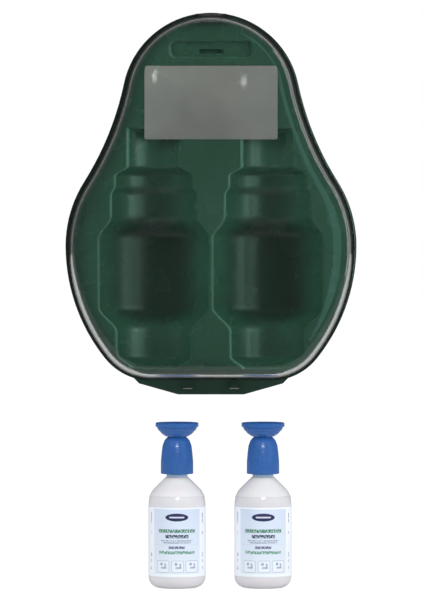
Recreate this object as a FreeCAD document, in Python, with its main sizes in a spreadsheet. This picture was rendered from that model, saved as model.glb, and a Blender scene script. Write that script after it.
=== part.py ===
import FreeCAD, Part
import math
import os

import Sketcher

# Two-bottle eyewash station: a pear-shaped wall case with a clear hinged cover, and its two rinse
# bottles, which stand under the case.
#
# Frame: x runs to the right, y runs into the wall, z runs up. The back of the case lies in y = 0,
# and the origin is the centre of the four wall fixings, at the height where the case is widest.

DIMENSIONS = {
    # outline of the case, seen from the front
    "half_width": 145.5,
    "top_radius": 89.0,
    "top_centre": 144.0,
    "waist_radius": 300.0,
    "side_radius": 120.0,
    "hip_radius": 180.0,
    "corner_radius": 60.0,
    "bottom_drop": 135.0,
    # back shell
    "shell_depth": 44.0,
    "shell_wall": 2.5,
    "shell_draft": 6.0,
    "shell_round": 5.0,
    "lip_round": 8.0,
    "lip_half_top": 86.0,
    "lip_half_middle": 72.0,
    "lip_middle_drop": 137.5,
    "lip_half_bottom": 33.0,
    "lip_drop": 148.5,
    "lip_overlap": 12.0,
    "lip_thick": 8.0,
    "fixing_spacing_x": 120.0,
    "fixing_spacing_z": 240.0,
    "fixing_hole_radius": 2.75,
    # inner tray with two bottle-shaped recesses
    "tray_plate": 2.0,
    "tray_edge": 1.0,
    "recess_offset": 57.0,
    "recess_axis_out": 20.6,
    "recess_wall": 2.0,
    "recess_top": 118.0,
    "tip_half": 27.0,
    "tip_bottom": 79.0,
    "cup_half": 39.5,
    "cup_top": 71.0,
    "cup_bottom": 59.0,
    "cap_half": 43.5,
    "cap_top": 52.0,
    "cap_bottom": 27.0,
    "body_half": 55.5,
    "body_top": 12.0,
    "body_bottom": 66.0,
    "foot_half": 38.0,
    "foot_top": 83.0,
    "foot_side_bottom": 110.0,
    "foot_bottom_half": 25.0,
    "foot_bottom": 124.0,
    "ledge_half": 41.0,
    "ledge_bottom": 189.0,
    "ledge_tall": 15.0,
    "ledge_deep": 1.2,
    "slot_half": 12.0,
    "slot_middle": 194.5,
    "slot_tall": 3.4,
    # clear cover
    "cover_inset": 3.0,
    "cover_depth": 62.0,
    "cover_wall": 2.5,
    "cover_round": 14.0,
    "tab_offset": 23.3,
    "tab_half": 4.5,
    "tab_drop": 12.0,
    "tab_thick": 1.8,
    "stud_radius": 4.0,
    "stud_tall": 4.2,
    # cover hinge
    "pin_radius": 2.0,
    "pin_out": 5.2,
    "pin_below_top": 1.4,
    "knuckle_half": 11.0,
    "knuckle_wall": 1.2,
    "ear_thick": 4.0,
    # instruction card
    "card_half": 66.5,
    "card_bottom": 106.5,
    "card_tall": 73.5,
    "card_thick": 1.0,
    "card_corner": 2.0,
    # clearances
    "free_gap": 0.3,
    "running_gap": 0.05,
    # bottles
    "bottle_left_x": 34.0,
    "bottle_right_x": 52.0,
    "bottle_out": 48.0,
    "bottle_below_lip": 28.0,
    "bottle_radius": 28.5,
    "bottle_wall": 1.2,
    "bottle_foot_round": 10.0,
    "bottle_side_top": 87.0,
    "shoulder_radius": 21.0,
    "shoulder_top": 101.6,
    "shoulder_round": 12.0,
    "neck_bottom": 111.0,
    "neck_radius": 8.8,
    "neck_wall": 1.4,
    "neck_top": 129.4,
    "liquid_top": 91.7,
    "sleeve_bottom": 12.5,
    "sleeve_tall": 69.0,
    "sleeve_thick": 0.25,
    "ring_radius": 10.5,
    "ring_tall": 2.5,
    "plug_flange": 1.2,
    "plug_deep": 6.0,
    "plug_bore": 1.5,
    "bell_radius": 16.1,
    "bell_tall": 36.3,
    "bell_shoulder_radius": 14.2,
    "bell_shoulder_drop": 6.6,
    "bell_wall": 1.7,
    "waist_half": 9.2,
    "thread_wall": 1.7,
    "spout_radius": 2.5,
    "eyecup_base_radius": 12.1,
    "eyecup_rim_radius": 19.8,
    "eyecup_tall": 13.2,
    "eyecup_flare": 9.6,
    "eyecup_wall": 1.4,
    "lid_radius": 21.5,
    "lid_tall": 4.4,
    "lid_top": 1.5,
}


class Size:
    """A length that carries both its value and the sheet expression that gives it."""

    def __init__(self, value, text):
        self.value = value
        self.text = text

    def __add__(self, other):
        other = as_size(other)
        return Size(self.value + other.value, f"({self.text} + {other.text})")

    def __sub__(self, other):
        other = as_size(other)
        return Size(self.value - other.value, f"({self.text} - {other.text})")

    def __mul__(self, number):
        return Size(self.value * number, f"({self.text} * {number!r})")

    def __neg__(self):
        return Size(-self.value, f"(-1 * {self.text})")


def as_size(item):
    return item if isinstance(item, Size) else Size(float(item), f"({float(item)!r})")


def across(size_a, size_b):
    """The hypotenuse of two sizes."""
    return Size(math.hypot(size_a.value, size_b.value),
                f"sqrt({size_a.text} * {size_a.text} + {size_b.text} * {size_b.text})")


def slope(rise, run):
    """The angle in degrees whose tangent is rise over run."""
    return Size(math.degrees(math.atan2(rise.value, run.value)), f"atan({rise.text} / {run.text})")


doc = FreeCAD.newDocument("eyewash_station")
sheet = doc.addObject("Spreadsheet::Sheet", "Dims")
for row, (alias, number) in enumerate(DIMENSIONS.items(), start=1):
    sheet.set(f"A{row}", alias)
    sheet.set(f"B{row}", str(number))
    sheet.setAlias(f"B{row}", alias)
doc.recompute()

nodes = []


def dim(alias):
    return Size(float(sheet.get(alias)), f"Dims.{alias}")


def bind(thing, prop, size):
    thing.setExpression(prop, as_size(size).text)


# ---------------------------------------------------------------- sketches and features

def new_body(name, place=None):
    """A body whose label is its node name; place is (x, y, z) as sizes."""
    body = doc.addObject("PartDesign::Body", name)
    body.Label = name
    nodes.append(body)
    if place:
        for axis, size in zip("xyz", place):
            bind(body, f"Placement.Base.{axis}", size)
    return body


def new_sketch(body, name, role, shift=None):
    """A sketch on one of the body's own planes, moved along the plane's normal by shift."""
    sketch = body.newObject("Sketcher::SketchObject", name)
    plane = next(item for item in body.Origin.OriginFeatures if item.Role == role)
    sketch.AttachmentSupport = [(plane, "")]
    sketch.MapMode = "FlatFace"
    if shift is not None:
        bind(sketch, "AttachmentOffset.Base.z", shift)
    return sketch


def constrain(sketch, kind, *where, size):
    """Adds a driving dimension and binds it to the sheet."""
    index = sketch.addConstraint(Sketcher.Constraint(kind, *where, size.value))
    sketch.setExpression(f"Constraints[{index}]", size.text)


def pin_point(sketch, edge, end, x, z):
    """Fixes a point of an edge at x, z from the sketch's origin, on either side of it."""
    for kind, size in (("DistanceX", as_size(x)), ("DistanceY", as_size(z))):
        if abs(size.value) < 1e-9:
            axis = -2 if kind == "DistanceX" else -1
            sketch.addConstraint(Sketcher.Constraint("PointOnObject", edge, end, axis))
        elif size.value > 0:
            constrain(sketch, kind, -1, 1, edge, end, size=size)
        else:
            constrain(sketch, kind, edge, end, -1, 1, size=-size)


def draw_polygon(sketch, corners):
    """A closed polygon through (x, z) corners given as sizes."""
    corners = [(as_size(x), as_size(z)) for x, z in corners]
    points = [FreeCAD.Vector(x.value, z.value, 0) for x, z in corners]
    first = sketch.GeometryCount
    for start, end in zip(points, points[1:] + points[:1]):
        sketch.addGeometry(Part.LineSegment(start, end), False)
    count = len(points)
    for edge in range(count):
        following = first + (edge + 1) % count
        sketch.addConstraint(Sketcher.Constraint("Coincident", first + edge, 2, following, 1))
    for edge, (x, z) in enumerate(corners):
        pin_point(sketch, first + edge, 1, x, z)


def draw_circle(sketch, x, z, radius):
    """A circle at x, z from the sketch's origin."""
    x, z = as_size(x), as_size(z)
    circle = Part.Circle(FreeCAD.Vector(x.value, z.value, 0), FreeCAD.Vector(0, 0, 1), radius.value)
    edge = sketch.addGeometry(circle, False)
    pin_point(sketch, edge, 3, x, z)
    constrain(sketch, "Radius", edge, size=radius)


def draw_outline(sketch, inset):
    """The pear: a round top, hollow flanks, full sides, and rounded corners at a flat bottom.

    Every stretch is an arc tangent to the next, so an inset only changes the radii.
    """
    half = dim("half_width") - inset
    top, waist = dim("top_radius") - inset, dim("waist_radius") + inset
    side, hip = dim("side_radius") - inset, dim("hip_radius") - inset
    corner, bottom = dim("corner_radius") - inset, dim("bottom_drop") - inset
    centre = dim("top_centre")

    # centre of the hollow flank, from the two circles that it touches
    reach_top, reach_side = top.value + waist.value, side.value + waist.value
    side_x = half.value - side.value
    run, rise = side_x, -centre.value
    span = math.hypot(run, rise)
    along = (reach_top ** 2 - reach_side ** 2 + span ** 2) / (2 * span)
    off = math.sqrt(reach_top ** 2 - along ** 2)
    waist_x = (run * along - rise * off) / span
    waist_z = centre.value + (rise * along + run * off) / span
    # centre of the rounded corner, inside the hip's circle
    hip_x = half.value - hip.value
    corner_z = corner.value - bottom.value
    corner_x = hip_x + math.sqrt((hip.value - corner.value) ** 2 - corner_z ** 2)

    a_top = math.atan2(waist_z - centre.value, waist_x)
    a_side = math.atan2(waist_z, waist_x - side_x)
    a_hip = math.atan2(corner_z, corner_x - hip_x)
    half_turn = math.pi

    def arc(x, z, radius, start, end):
        circle = Part.Circle(FreeCAD.Vector(x, z, 0), FreeCAD.Vector(0, 0, 1), radius.value)
        edge = sketch.addGeometry(Part.ArcOfCircle(circle, start, end), False)
        constrain(sketch, "Radius", edge, size=radius)
        return edge

    crown = arc(0, centre.value, top, a_top, half_turn - a_top)
    flank_r = arc(waist_x, waist_z, waist, a_top + half_turn, a_side + half_turn)
    flank_l = arc(-waist_x, waist_z, waist, -a_side, -a_top)
    side_r = arc(side_x, 0, side, 0, a_side)
    side_l = arc(-side_x, 0, side, half_turn - a_side, half_turn)
    hip_r = arc(hip_x, 0, hip, a_hip, 0)
    hip_l = arc(-hip_x, 0, hip, half_turn, half_turn - a_hip)
    corner_r = arc(corner_x, corner_z, corner, -half_turn / 2, a_hip)
    corner_l = arc(-corner_x, corner_z, corner, half_turn - a_hip, 1.5 * half_turn)
    base = sketch.addGeometry(Part.LineSegment(FreeCAD.Vector(-corner_x, -bottom.value, 0),
                                               FreeCAD.Vector(corner_x, -bottom.value, 0)), False)

    joins = ((crown, 1, flank_r, 1), (flank_r, 2, side_r, 2), (crown, 2, flank_l, 2),
             (flank_l, 1, side_l, 1), (hip_r, 1, corner_r, 2), (corner_r, 1, base, 2),
             (hip_l, 2, corner_l, 1), (corner_l, 2, base, 1))
    for join in joins:
        sketch.addConstraint(Sketcher.Constraint("Tangent", *join))
    sketch.addConstraint(Sketcher.Constraint("PointOnObject", crown, 3, -2))
    constrain(sketch, "DistanceY", -1, 1, crown, 3, size=centre)
    sketch.addConstraint(Sketcher.Constraint("Horizontal", base))
    constrain(sketch, "DistanceY", base, 1, -1, 1, size=bottom)
    for upper, upper_end, lower, lower_end, sign in ((side_r, 1, hip_r, 2, 1), (side_l, 2, hip_l, 1, -1)):
        sketch.addConstraint(Sketcher.Constraint("Coincident", upper, upper_end, lower, lower_end))
        pin_point(sketch, upper, upper_end, half if sign > 0 else -half, 0)
        sketch.addConstraint(Sketcher.Constraint("PointOnObject", upper, 3, -1))
        sketch.addConstraint(Sketcher.Constraint("PointOnObject", lower, 3, -1))


def pad(body, sketch, length, taper=None):
    """Material from the sketch towards the room."""
    feature = body.newObject("PartDesign::Pad", "Pad")
    feature.Profile = sketch
    bind(feature, "Length", length)
    if taper is not None:
        bind(feature, "TaperAngle", taper)
    return feature


def pocket(body, sketch, length, taper=None):
    """A cut from the sketch towards the room."""
    before = body.Shape.Volume
    feature = body.newObject("PartDesign::Pocket", "Pocket")
    feature.Profile = sketch
    feature.Reversed = True
    bind(feature, "Length", length)
    if taper is not None:
        bind(feature, "TaperAngle", taper)
    doc.recompute()
    if body.Shape.Volume >= before:
        raise RuntimeError(f"{body.Label}: a pocket cuts nothing")
    return feature


def revolve(body, sketch, kind="Revolution", axis="V_Axis"):
    feature = body.newObject(f"PartDesign::{kind}", kind)
    feature.Profile = sketch
    feature.ReferenceAxis = (sketch, [axis])
    feature.Angle = 360
    return feature


def turned(name, place, corners):
    """A body turned about its own vertical axis from a half section of (radius, height) corners."""
    body = new_body(name, place)
    sketch = new_sketch(body, f"{name}_section", "XZ_Plane")
    draw_polygon(sketch, corners)
    revolve(body, sketch)
    return body


def round_edges(body, radius, chosen):
    """Fillets the edges that chosen(edge) accepts."""
    doc.recompute()
    names = [f"Edge{i}" for i, edge in enumerate(body.Tip.Shape.Edges, start=1) if chosen(edge)]
    if not names:
        raise RuntimeError(f"{body.Label}: no edge to round")
    base = body.Tip
    feature = body.newObject("PartDesign::Fillet", "Fillet")
    feature.Base = (base, names)
    bind(feature, "Radius", radius)
    return feature


def hollow_out(body, wall, is_mouth):
    """Leaves a wall of even thickness inside the body, open at the face that is_mouth(face) accepts."""
    doc.recompute()
    names = [f"Face{i}" for i, face in enumerate(body.Tip.Shape.Faces, start=1) if is_mouth(face)]
    base = body.Tip
    feature = body.newObject("PartDesign::Thickness", "Thickness")
    feature.Base = (base, names)
    feature.Reversed = True
    bind(feature, "Value", wall)


def ring_at(radius, height):
    """Accepts the whole circle of that radius and height in a turned body's own section."""
    def chosen(edge):
        box = edge.BoundBox
        return (abs(box.XLength / 2 - radius.value) < 0.01 and abs(box.ZLength) < 0.01
                and abs(box.ZMin - height.value) < 0.01)
    return chosen


def part_node(name, kind, sizes, place, turn=None):
    """A Part primitive as a node of its own."""
    thing = doc.addObject(kind, name)
    thing.Label = name
    nodes.append(thing)
    for prop, size in sizes.items():
        bind(thing, prop, size)
    if turn:
        thing.Placement.Rotation = FreeCAD.Rotation(*turn)
    for axis, size in zip("xyz", place):
        bind(thing, f"Placement.Base.{axis}", size)
    return thing


# ---------------------------------------------------------------- the case

shell_depth, shell_wall = dim("shell_depth"), dim("shell_wall")
front = shell_depth + dim("tray_plate")
draft_angle = slope(dim("shell_draft"), shell_depth)
lip_drop = dim("lip_drop")
free_gap, running_gap = dim("free_gap"), dim("running_gap")


def make_back_shell():
    """Drafted pan, open at the front, with a finger lip below and four wall-fixing holes."""
    body = new_body("back_shell")
    outer = new_sketch(body, "shell_outside", "XZ_Plane")
    draw_outline(outer, dim("shell_draft"))
    pad(body, outer, shell_depth, draft_angle)
    round_edges(body, dim("shell_round"),
                lambda edge: edge.BoundBox.YLength < 0.01 and abs(edge.BoundBox.YMax) < 0.01)

    lip = new_sketch(body, "shell_lip", "XZ_Plane", front - dim("lip_thick"))
    lip_top = -(dim("bottom_drop") - dim("lip_overlap"))
    lip_middle = -dim("lip_middle_drop")
    draw_polygon(lip, [(-dim("lip_half_bottom"), -lip_drop), (dim("lip_half_bottom"), -lip_drop),
                       (dim("lip_half_middle"), lip_middle), (dim("lip_half_top"), lip_top),
                       (-dim("lip_half_top"), lip_top), (-dim("lip_half_middle"), lip_middle)])
    pad(body, lip, dim("lip_thick"))
    lip_corner = dim("lip_half_bottom").value
    round_edges(body, dim("lip_round"),
                lambda edge: edge.BoundBox.XLength < 0.01 and edge.BoundBox.ZLength < 0.01
                and abs(abs(edge.BoundBox.XMin) - lip_corner) < 0.01
                and abs(edge.BoundBox.ZMin + lip_drop.value) < 0.01)
    doc.recompute()

    inside = new_sketch(body, "shell_inside", "XZ_Plane", shell_wall)
    draw_outline(inside, dim("shell_draft") + shell_wall)
    pocket(body, inside, shell_depth - shell_wall, draft_angle)

    seat = new_sketch(body, "tray_seat", "XZ_Plane", shell_depth)
    draw_outline(seat, dim("tray_edge") - free_gap)
    pocket(body, seat, dim("tray_plate") * 2)

    holes = new_sketch(body, "fixing_holes", "XZ_Plane")
    for side in (-0.5, 0.5):
        for level in (-0.5, 0.5):
            draw_circle(holes, dim("fixing_spacing_x") * side, dim("fixing_spacing_z") * level,
                        dim("fixing_hole_radius"))
    pocket(body, holes, shell_wall * 2)


def recess_section(sign, grow):
    """Half section of one recess beside its turning axis; grow thickens it by the wall."""
    out = dim("recess_axis_out")
    centre = dim("recess_offset")

    def reach(half_name):
        return across(dim(half_name), out) + grow

    stations = [("tip_half", dim("recess_top") + grow), ("tip_half", dim("tip_bottom") + grow),
                ("cup_half", dim("cup_top") + grow), ("cup_half", dim("cup_bottom")),
                ("cap_half", dim("cap_top")), ("cap_half", dim("cap_bottom") + grow),
                ("body_half", dim("body_top") + grow), ("body_half", -(dim("body_bottom") + grow)),
                ("foot_half", -(dim("foot_top") + grow)), ("foot_half", -dim("foot_side_bottom")),
                ("foot_bottom_half", -(dim("foot_bottom") + grow))]
    corners = [((centre + reach(name)) * sign, level) for name, level in stations]
    corners.append((centre * sign, stations[-1][1]))
    corners.append((centre * sign, stations[0][1]))
    return corners


def make_inner_tray():
    """Front plate with two stepped, bottle-shaped recesses, a hanging ledge and the hinge ears."""
    body = new_body("inner_tray")
    plate = new_sketch(body, "tray_plate", "XZ_Plane", shell_depth)
    draw_outline(plate, dim("tray_edge"))
    pad(body, plate, dim("tray_plate"))

    axis_plane = front + dim("recess_axis_out")
    for name, kind, grow in (("bulge", "Revolution", dim("recess_wall")), ("hollow", "Groove", as_size(0))):
        for sign in (-1, 1):
            section = new_sketch(body, f"{name}_{'left' if sign < 0 else 'right'}", "XZ_Plane", axis_plane)
            draw_polygon(section, recess_section(sign, grow))
            axis_line = Part.LineSegment(FreeCAD.Vector(sign * dim("recess_offset").value, 0, 0),
                                         FreeCAD.Vector(sign * dim("recess_offset").value, 10, 0))
            line = section.addGeometry(axis_line, True)
            pin_point(section, line, 1, dim("recess_offset") * sign, 0)
            pin_point(section, line, 2, dim("recess_offset") * sign, as_size(10))
            revolve(body, section, kind, "Axis0")
            doc.recompute()
        if kind == "Revolution":
            room = new_sketch(body, "plate_front", "XZ_Plane", front)
            wide, tall = dim("half_width") * 2, dim("top_centre") + dim("top_radius") * 2
            draw_polygon(room, [(-wide, -tall), (wide, -tall), (wide, tall), (-wide, tall)])
            pocket(body, room, dim("half_width") * 2)

    ledge = new_sketch(body, "ledge", "XZ_Plane", front - dim("ledge_deep"))
    low, high = dim("ledge_bottom"), dim("ledge_bottom") + dim("ledge_tall")
    draw_polygon(ledge, [(-dim("ledge_half"), low), (dim("ledge_half"), low),
                         (dim("ledge_half"), high), (-dim("ledge_half"), high)])
    pocket(body, ledge, dim("tray_plate"))
    slot = new_sketch(body, "hanging_slot", "XZ_Plane", shell_depth - 1)
    low, high = dim("slot_middle") - dim("slot_tall") * 0.5, dim("slot_middle") + dim("slot_tall") * 0.5
    draw_polygon(slot, [(-dim("slot_half"), low), (dim("slot_half"), low),
                        (dim("slot_half"), high), (-dim("slot_half"), high)])
    pocket(body, slot, dim("tray_plate") * 2)

    # two ears carry the cover's pin; each is a block to the axis and a round end about it
    for sign in (-1, 1):
        near = dim("knuckle_half") + free_gap * 2
        for number, shape in enumerate(("block", "round")):
            ear = new_sketch(body, f"ear_{shape}_{'left' if sign < 0 else 'right'}", "YZ_Plane",
                             near if sign > 0 else -(near + dim("ear_thick")))
            if number == 0:
                draw_polygon(ear, [(-(front + dim("pin_out")), pin_level - knuckle_radius),
                                   (-(front - dim("tray_plate") * 0.5), pin_level - knuckle_radius),
                                   (-(front - dim("tray_plate") * 0.5), pin_level + knuckle_radius),
                                   (-(front + dim("pin_out")), pin_level + knuckle_radius)])
            else:
                draw_circle(ear, -(front + dim("pin_out")), pin_level, knuckle_radius)
            pad(body, ear, dim("ear_thick"))
            doc.recompute()
        bore = new_sketch(body, f"ear_bore_{'left' if sign < 0 else 'right'}", "YZ_Plane",
                          near - 1 if sign > 0 else -(near + dim("ear_thick") + 1))
        draw_circle(bore, -(front + dim("pin_out")), pin_level, dim("pin_radius"))
        pocket(body, bore, dim("ear_thick") + 2)


cover_top = dim("top_centre") + dim("top_radius") - dim("cover_inset")
pin_level = cover_top - dim("pin_below_top")
knuckle_radius = dim("pin_radius") + dim("knuckle_wall")


def make_clear_cover():
    """Deep dome with a rounded shoulder, a hinge knuckle at the top and two snap tabs below."""
    body = new_body("clear_cover")
    start = front + free_gap
    outside = new_sketch(body, "cover_outside", "XZ_Plane", start)
    draw_outline(outside, dim("cover_inset"))
    pad(body, outside, dim("cover_depth"))
    far = -(start + dim("cover_depth")).value
    round_edges(body, dim("cover_round"),
                lambda edge: edge.BoundBox.YLength < 0.01 and abs(edge.BoundBox.YMin - far) < 0.01)
    hollow_out(body, dim("cover_wall"),
               lambda face: face.BoundBox.YLength < 0.01 and abs(face.BoundBox.YMax + start.value) < 0.01)

    knuckle = new_sketch(body, "knuckle", "YZ_Plane", -dim("knuckle_half"))
    draw_circle(knuckle, -(front + dim("pin_out")), pin_level, knuckle_radius)
    pad(body, knuckle, dim("knuckle_half") * 2)
    doc.recompute()
    for sign in (-1, 1):
        room = dim("ear_thick") + free_gap * 4
        notch = new_sketch(body, f"ear_room_{'left' if sign < 0 else 'right'}", "YZ_Plane",
                           dim("knuckle_half") if sign > 0 else -(dim("knuckle_half") + room))
        draw_circle(notch, -(front + dim("pin_out")), pin_level, dim("pin_out") + dim("tray_plate"))
        pocket(body, notch, room)
    bore = new_sketch(body, "pin_bore", "YZ_Plane", -(dim("knuckle_half") + 1))
    draw_circle(bore, -(front + dim("pin_out")), pin_level, dim("pin_radius") + running_gap)
    pocket(body, bore, dim("knuckle_half") * 2 + 2)

    tab_start = front + dim("stud_tall") + free_gap
    edge_level = dim("bottom_drop") - dim("cover_inset") - dim("cover_wall") * 0.5
    tabs = new_sketch(body, "snap_tabs", "XZ_Plane", tab_start)
    for sign in (-1, 1):
        left = dim("tab_offset") * sign - dim("tab_half")
        right = dim("tab_offset") * sign + dim("tab_half")
        low = edge_level + dim("tab_drop")
        draw_polygon(tabs, [(left, -low), (right, -low), (right, -edge_level), (left, -edge_level)])
    pad(body, tabs, dim("tab_thick"))


def make_case_fittings():
    """The hinge pin, the two snap studs under the cover's tabs, and the blank instruction card."""
    reach = dim("knuckle_half") + free_gap * 2 + dim("ear_thick")
    part_node("hinge_pin", "Part::Cylinder",
              {"Radius": dim("pin_radius") - running_gap * 0.5, "Height": reach * 2},
              (-reach, -(front + dim("pin_out")), pin_level), (FreeCAD.Vector(0, 1, 0), 90))
    stud_level = -(dim("bottom_drop") - dim("cover_inset") + dim("tab_drop") * 0.5)
    for side, sign in (("left", -1), ("right", 1)):
        part_node(f"snap_stud_{side}", "Part::Cylinder",
                  {"Radius": dim("stud_radius"), "Height": dim("stud_tall")},
                  (dim("tab_offset") * sign, -front, stud_level), (FreeCAD.Vector(1, 0, 0), 90))
    card = new_body("instruction_card")
    sketch = new_sketch(card, "card_outline", "XZ_Plane", front)
    low, high = dim("card_bottom"), dim("card_bottom") + dim("card_tall")
    draw_polygon(sketch, [(-dim("card_half"), low), (dim("card_half"), low),
                          (dim("card_half"), high), (-dim("card_half"), high)])
    pad(card, sketch, dim("card_thick"))
    round_edges(card, dim("card_corner"),
                lambda edge: edge.BoundBox.XLength < 0.01 and edge.BoundBox.ZLength < 0.01)


# ---------------------------------------------------------------- the bottles

def make_bottle(side, bottle_x):
    """One rinse bottle with its solution, sleeve, ring, plug, cap, eyecup and dust lid."""
    top = dim("neck_bottom") + dim("ring_tall") + free_gap + dim("bell_tall") + dim("eyecup_tall")
    whole = top + free_gap + dim("lid_top")
    place = (bottle_x, -dim("bottle_out"), -(lip_drop + dim("bottle_below_lip") + whole))
    wall, neck = dim("bottle_wall"), dim("neck_radius")
    mouth = neck - dim("neck_wall")
    body_r, shoulder_r = dim("bottle_radius"), dim("shoulder_radius")
    side_top, shoulder_top = dim("bottle_side_top"), dim("shoulder_top")
    ring_r = dim("ring_radius")

    bottle = turned(f"bottle_{side}", place, [
        (0, 0), (body_r, 0), (body_r, side_top), (shoulder_r, shoulder_top),
        (neck, dim("neck_bottom")), (neck, dim("neck_top")), (mouth, dim("neck_top")),
        (mouth, dim("neck_bottom") - wall), (shoulder_r - wall, shoulder_top - wall),
        (body_r - wall, side_top), (body_r - wall, wall), (0, wall)])
    foot = dim("bottle_foot_round")
    round_edges(bottle, foot, ring_at(body_r, as_size(0)))
    round_edges(bottle, foot - wall, ring_at(body_r - wall, wall))
    round_edges(bottle, dim("shoulder_round"), ring_at(body_r, side_top))

    inner = body_r - wall - free_gap
    surface_r = shoulder_r + (body_r - shoulder_r) * 0.5 - wall - free_gap
    solution = turned(f"solution_{side}", place, [
        (0, wall + free_gap), (inner, wall + free_gap), (inner, side_top - wall),
        (surface_r, dim("liquid_top")), (0, dim("liquid_top"))])
    round_edges(solution, foot - wall, ring_at(inner, wall + free_gap))

    low, high = dim("sleeve_bottom"), dim("sleeve_bottom") + dim("sleeve_tall")
    sleeve_in = body_r + running_gap
    sleeve_out = sleeve_in + dim("sleeve_thick")
    turned(f"bottle_label_{side}", place, [(sleeve_in, low), (sleeve_out, low),
                                           (sleeve_out, high), (sleeve_in, high)])

    ring_top = dim("neck_bottom") + dim("ring_tall")
    turned(f"tamper_ring_{side}", place, [
        (neck + running_gap, dim("neck_bottom") + running_gap), (ring_r, dim("neck_bottom") + running_gap),
        (ring_r, ring_top), (neck + running_gap, ring_top)])

    plug_top = dim("neck_top") + dim("plug_flange")
    plug_low = dim("neck_top") - dim("plug_deep")
    bore = dim("plug_bore")
    turned(f"spout_plug_{side}", place, [
        (bore, plug_low), (mouth, plug_low), (mouth, dim("neck_top")),
        (neck, dim("neck_top")), (neck, plug_top), (bore, plug_top)])

    bell_low = ring_top + free_gap
    bell_top = bell_low + dim("bell_tall")
    bell_r, bell_in = dim("bell_radius"), dim("bell_radius") - dim("bell_wall")
    thread_in = neck + running_gap
    thread_out = thread_in + dim("thread_wall")
    spout = dim("spout_radius")
    ceiling = plug_top + free_gap
    bell_shoulder = bell_top - dim("bell_shoulder_drop")
    turned(f"screw_cap_{side}", place, [
        (spout, bell_top), (dim("waist_half"), bell_top), (dim("bell_shoulder_radius"), bell_shoulder),
        (bell_r, plug_top - dim("neck_wall") * 2), (bell_r, bell_low), (bell_in, bell_low),
        (bell_in, dim("neck_top")), (thread_out, dim("neck_top")), (thread_out, bell_low + free_gap),
        (thread_in, bell_low + free_gap), (thread_in, ceiling), (spout, ceiling)])

    cup_top = bell_top + dim("eyecup_tall")
    cup_wall, base_r, rim_r = dim("eyecup_wall"), dim("eyecup_base_radius"), dim("eyecup_rim_radius")
    flare = bell_top + dim("eyecup_flare")
    turned(f"eyecup_{side}", place, [
        (spout, bell_top), (dim("waist_half"), bell_top), (base_r, bell_top + free_gap * 2),
        (rim_r, flare), (rim_r, cup_top), (rim_r - cup_wall, cup_top), (rim_r - cup_wall, flare),
        (base_r - cup_wall, bell_top + cup_wall + free_gap * 2), (spout, bell_top + cup_wall + free_gap * 2)])

    lid_top = cup_top + free_gap + dim("lid_top")
    lid_in = rim_r + free_gap
    turned(f"dust_lid_{side}", place, [
        (0, cup_top + free_gap), (lid_in, cup_top + free_gap), (lid_in, lid_top - dim("lid_tall")),
        (dim("lid_radius"), lid_top - dim("lid_tall")), (dim("lid_radius"), lid_top), (0, lid_top)])


make_back_shell()
make_inner_tray()
make_clear_cover()
make_case_fittings()
for side_name, side_x in (("left", -dim("bottle_left_x")), ("right", dim("bottle_right_x"))):
    make_bottle(side_name, side_x)
doc.recompute()

for thing in doc.Objects:
    if "Invalid" in thing.State or "Error" in thing.State:
        raise RuntimeError(f"{thing.Label} failed: {thing.State}")
for node in nodes:
    if node.Shape.isNull() or not node.Shape.isValid() or not node.Shape.Solids:
        raise RuntimeError(f"{node.Label} has no valid solid")

os.makedirs("parts", exist_ok=True)
for node in nodes:
    node.Shape.exportStep(os.path.join("parts", f"{node.Label}.step"))
    box = node.Shape.BoundBox
    print(f"{node.Label}: {len(node.Shape.Solids)} solid, {node.Shape.Volume / 1000:.2f} cm3, "
          f"x {box.XMin:.1f} {box.XMax:.1f}, y {box.YMin:.1f} {box.YMax:.1f}, z {box.ZMin:.1f} {box.ZMax:.1f}")
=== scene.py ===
import math

import bmesh
import bpy
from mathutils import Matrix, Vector


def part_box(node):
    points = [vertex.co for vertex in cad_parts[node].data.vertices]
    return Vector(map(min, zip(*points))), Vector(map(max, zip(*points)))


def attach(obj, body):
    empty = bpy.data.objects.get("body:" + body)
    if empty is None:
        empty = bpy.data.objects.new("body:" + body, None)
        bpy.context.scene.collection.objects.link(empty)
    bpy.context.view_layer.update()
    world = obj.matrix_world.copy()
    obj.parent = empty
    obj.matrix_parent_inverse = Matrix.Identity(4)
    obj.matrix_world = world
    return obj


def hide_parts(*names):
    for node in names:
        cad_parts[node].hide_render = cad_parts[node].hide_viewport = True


# Two-bottle eyewash station. Metres: x to the right, y into the wall, z up.

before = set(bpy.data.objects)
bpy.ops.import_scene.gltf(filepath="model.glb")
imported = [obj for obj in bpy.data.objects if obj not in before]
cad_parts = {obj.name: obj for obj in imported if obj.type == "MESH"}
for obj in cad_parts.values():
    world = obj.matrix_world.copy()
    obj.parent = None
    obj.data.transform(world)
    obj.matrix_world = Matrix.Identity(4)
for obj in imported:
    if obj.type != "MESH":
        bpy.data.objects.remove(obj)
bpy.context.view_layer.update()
MM = 0.001
scene = bpy.context.scene
SIDES = ("left", "right")


# ---------------------------------------------------------------- materials

def rgb(red, green, blue):
    """A linear colour from display values of 0 to 255."""
    return tuple((c / 255 / 12.92) if c <= 10 else ((c / 255 + 0.055) / 1.055) ** 2.4
                 for c in (red, green, blue)) + (1.0,)


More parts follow.
